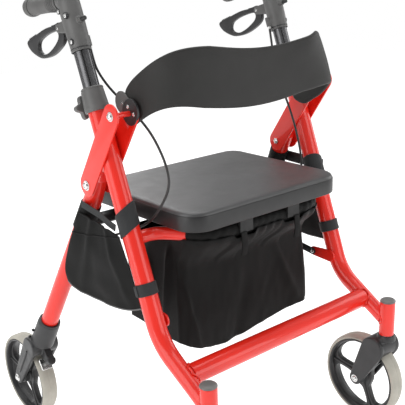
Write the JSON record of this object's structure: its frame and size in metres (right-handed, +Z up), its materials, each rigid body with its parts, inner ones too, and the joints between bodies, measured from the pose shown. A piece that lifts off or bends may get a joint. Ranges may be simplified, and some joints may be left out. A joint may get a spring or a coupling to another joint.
{
  "type": "rollator walker",
  "caption": "Wheeled walking frame with swivelling front casters, braked rear wheels, flip-up padded seat, bowed backrest band, under-seat bag and height-adjustable brake handles.",
  "frame": {"origin": "on the floor, in the middle of the footprint", "axes": "+Z up, -Y towards the front of the walker, +X towards its left side; X is square to the mirror plane"},
  "size_m": [0.661, 0.7191, 0.9302],
  "materials": {
    "red_paint": "gloss",
    "black_metal": "satin",
    "grey_plastic": "satin moulded",
    "black_plastic": "satin moulded",
    "post_anodised": "black anodised, fluted",
    "seat_vinyl": "matt vinyl skin over foam",
    "back_foam": "matt padded sleeve",
    "bag_nylon": "woven nylon",
    "tyre_grey": "matt",
    "bare_steel": "satin",
    "cable_sheath": "satin"
  },
  "bodies": {
    "frame": {"front_leg_left": "red_paint", "front_leg_right": "red_paint", "caster_housing_left": "red_paint", "caster_housing_right": "red_paint", "caster_cap_left": "grey_plastic", "caster_cap_right": "grey_plastic", "fold_bracket_left": "red_paint", "fold_bracket_right": "red_paint", "link_tab_left": "red_paint", "link_tab_right": "red_paint", "height_clamp_left": "grey_plastic", "height_clamp_right": "grey_plastic", "bag_side_panel_left": "bag_nylon", "bag_side_panel_right": "bag_nylon", "bag_upper_strap_left": "bag_nylon", "bag_upper_strap_right": "bag_nylon", "bag_lower_strap_left": "bag_nylon", "bag_lower_strap_right": "bag_nylon", "brake_cable_left": "cable_sheath", "brake_cable_right": "cable_sheath", "front_crossbar": "red_paint", "seat_support_tube": "red_paint", "bag": "bag_nylon"},
    "backrest": {"backrest_band": "back_foam", "backrest_plate_left": "grey_plastic", "backrest_plate_right": "grey_plastic"},
    "seat": {"seat_board": "black_plastic", "seat_cushion": "seat_vinyl"},
    "rear_frame": {"rear_leg_left": "red_paint", "rear_leg_right": "red_paint", "rear_fork_left": "grey_plastic", "rear_fork_right": "grey_plastic", "rear_seat_rail": "black_metal"},
    "rear_wheel_left": {"rear_tyre_left": "tyre_grey", "rear_rim_left": "black_plastic"},
    "front_caster_left": {"front_fork_left": "grey_plastic"},
    "front_wheel_left": {"front_tyre_left": "tyre_grey", "front_rim_left": "black_plastic"},
    "handle_left": {"handle_post_left": "post_anodised", "handle_casting_left": "grey_plastic", "hand_grip_left": "grey_plastic"},
    "lever_left": {"brake_lever_left": "grey_plastic"},
    "shoe_left": {"brake_shoe_left": "bare_steel"},
    "knob_left": {"clamp_knob_left": "grey_plastic"},
    "front_link_left": {"front_side_link_left": "black_metal"},
    "rear_link_left": {"rear_side_link_left": "black_metal"},
    "rear_wheel_right": {"rear_tyre_right": "tyre_grey", "rear_rim_right": "black_plastic"},
    "front_caster_right": {"front_fork_right": "grey_plastic"},
    "front_wheel_right": {"front_tyre_right": "tyre_grey", "front_rim_right": "black_plastic"},
    "handle_right": {"handle_post_right": "post_anodised", "handle_casting_right": "grey_plastic", "hand_grip_right": "grey_plastic"},
    "lever_right": {"brake_lever_right": "grey_plastic"},
    "shoe_right": {"brake_shoe_right": "bare_steel"},
    "knob_right": {"clamp_knob_right": "grey_plastic"},
    "front_link_right": {"front_side_link_right": "black_metal"},
    "rear_link_right": {"rear_side_link_right": "black_metal"}
  },
  "joints": [
    {"name": "fold", "type": "hinge", "parent": "frame", "child": "rear_frame", "pos_m": [0, -0.0175, 0.59], "axis": [1, 0, 0], "range_deg": [-40, 0], "deforming": ["bag_side_panel_left", "bag_upper_strap_left", "brake_cable_left", "bag_side_panel_right", "bag_upper_strap_right", "brake_cable_right"]},
    {"name": "seat_flip", "type": "hinge", "parent": "frame", "child": "seat", "pos_m": [0, -0.2085, 0.505], "axis": [1, 0, 0], "range_deg": [0, 55]},
    {"name": "backrest_flip", "type": "hinge", "parent": "frame", "child": "backrest", "pos_m": [0, -0.1155, 0.729], "axis": [1, 0, 0], "range_deg": [-80, 0]},
    {"name": "front_link_turn_left", "type": "hinge", "parent": "frame", "child": "front_link_left", "pos_m": [0.2212, -0.1305, 0.358], "axis": [1, 0, 0], "range_deg": [-1, 46]},
    {"name": "rear_link_turn_left", "type": "hinge", "parent": "rear_frame", "child": "rear_link_left", "pos_m": [0.2193, 0.1023, 0.358], "axis": [1, 0, 0], "range_deg": [-50, 1]},
    {"name": "handle_height_left", "type": "slide", "parent": "frame", "child": "handle_left", "axis": [0, 0.342, 0.9397], "range_m": [-0.06, 0.025]},
    {"name": "clamp_knob_turn_left", "type": "hinge", "parent": "frame", "child": "knob_left", "pos_m": [0.247, -0.0372, 0.742], "axis": [0, 0.9397, -0.342], "range_deg": [0, 720]},
    {"name": "brake_squeeze_left", "type": "hinge", "parent": "handle_left", "child": "lever_left", "pos_m": [0.247, 0.0565, 0.866], "axis": [1, 0, 0], "range_deg": [0, 14], "stiffness_Nm_per_rad": 1.5},
    {"name": "shoe_travel_left", "type": "slide", "parent": "rear_frame", "child": "shoe_left", "axis": [0, 0.8291, -0.5591], "range_m": [0, 0.0015]},
    {"name": "caster_swivel_left", "type": "hinge", "parent": "frame", "child": "front_caster_left", "pos_m": [0.247, -0.3205, 0.24], "axis": [0, 0, 1], "continuous": true},
    {"name": "front_wheel_spin_left", "type": "hinge", "parent": "front_caster_left", "child": "front_wheel_left", "pos_m": [0.247, -0.2645, 0.095], "axis": [1, 0, 0], "continuous": true},
    {"name": "rear_wheel_spin_left", "type": "hinge", "parent": "rear_frame", "child": "rear_wheel_left", "pos_m": [0.2965, 0.2646, 0.095], "axis": [1, 0, 0], "continuous": true},
    {"name": "front_link_turn_right", "type": "hinge", "parent": "frame", "child": "front_link_right", "pos_m": [-0.2212, -0.1305, 0.358], "axis": [1, 0, 0], "range_deg": [-1, 46]},
    {"name": "rear_link_turn_right", "type": "hinge", "parent": "rear_frame", "child": "rear_link_right", "pos_m": [-0.2193, 0.1023, 0.358], "axis": [1, 0, 0], "range_deg": [-50, 1]},
    {"name": "handle_height_right", "type": "slide", "parent": "frame", "child": "handle_right", "axis": [0, 0.342, 0.9397], "range_m": [-0.06, 0.025]},
    {"name": "clamp_knob_turn_right", "type": "hinge", "parent": "frame", "child": "knob_right", "pos_m": [-0.247, -0.0372, 0.742], "axis": [0, 0.9397, -0.342], "range_deg": [0, 720]},
    {"name": "brake_squeeze_right", "type": "hinge", "parent": "handle_right", "child": "lever_right", "pos_m": [-0.247, 0.0565, 0.866], "axis": [1, 0, 0], "range_deg": [0, 14], "stiffness_Nm_per_rad": 1.5},
    {"name": "shoe_travel_right", "type": "slide", "parent": "rear_frame", "child": "shoe_right", "axis": [0, 0.8291, -0.5591], "range_m": [0, 0.0015]},
    {"name": "caster_swivel_right", "type": "hinge", "parent": "frame", "child": "front_caster_right", "pos_m": [-0.247, -0.3205, 0.24], "axis": [0, 0, 1], "continuous": true},
    {"name": "front_wheel_spin_right", "type": "hinge", "parent": "front_caster_right", "child": "front_wheel_right", "pos_m": [-0.247, -0.2645, 0.095], "axis": [1, 0, 0], "continuous": true},
    {"name": "rear_wheel_spin_right", "type": "hinge", "parent": "rear_frame", "child": "rear_wheel_right", "pos_m": [-0.2965, 0.2646, 0.095], "axis": [1, 0, 0], "continuous": true}
  ],
  "couplings": [
    {"joint": "front_link_turn_left", "follows": "fold", "ratio": -1.13},
    {"joint": "rear_link_turn_left", "follows": "fold", "ratio": 1.24},
    {"joint": "shoe_travel_left", "follows": "brake_squeeze_left", "m_per_rad": 0.0049},
    {"joint": "front_link_turn_right", "follows": "fold", "ratio": -1.13},
    {"joint": "rear_link_turn_right", "follows": "fold", "ratio": 1.24},
    {"joint": "shoe_travel_right", "follows": "brake_squeeze_right", "m_per_rad": 0.0049}
  ]
}
